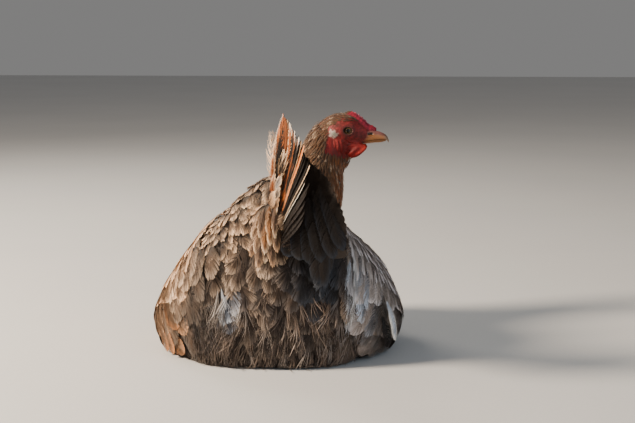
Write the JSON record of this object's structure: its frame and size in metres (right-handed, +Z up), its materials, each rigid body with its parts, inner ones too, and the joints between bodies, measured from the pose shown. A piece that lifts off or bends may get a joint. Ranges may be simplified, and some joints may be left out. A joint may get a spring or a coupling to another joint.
{
  "type": "chicken",
  "caption": "Life-size brooding hen sitting on the floor, wings drooped, tail raised and head turned over her right side.",
  "frame": {"origin": "on the floor, at the middle of the flat that the belly rests on", "axes": "+Z up, -Y the way the body faces, +X to the hen's left"},
  "size_m": [0.2546, 0.3177, 0.2472],
  "materials": {
    "plumage": "soft feather",
    "hackle": "soft feather",
    "wing_feather": "smooth feather",
    "tail_feather": "smooth feather",
    "face_skin": "bare pebbled skin",
    "comb_skin": "bare fleshy skin",
    "wattle_skin": "bare fleshy skin",
    "lobe_skin": "matte skin",
    "bill_horn": "satin horn",
    "eye": "wet gloss",
    "leg_scale": "scaled skin",
    "claw_horn": "satin horn"
  },
  "bodies": {
    "root": {"torso": "plumage", "neck": "hackle", "head": "face_skin", "comb": "comb_skin", "bill_upper": "bill_horn", "bill_lower": "bill_horn", "eye_right": "eye", "eye_left": "eye", "wattle_right": "wattle_skin", "wattle_left": "wattle_skin", "earlobe_right": "lobe_skin", "earlobe_left": "lobe_skin", "wing_right": "wing_feather", "wing_left": "wing_feather", "tail_base": "plumage", "tail_left": "tail_feather", "tail_right": "tail_feather", "leg_right": "leg_scale", "leg_left": "leg_scale", "claw_right_1": "claw_horn", "claw_right_2": "claw_horn", "claw_right_3": "claw_horn", "claw_right_4": "claw_horn", "claw_left_1": "claw_horn", "claw_left_2": "claw_horn", "claw_left_3": "claw_horn", "claw_left_4": "claw_horn"}
  },
  "joints": []
}
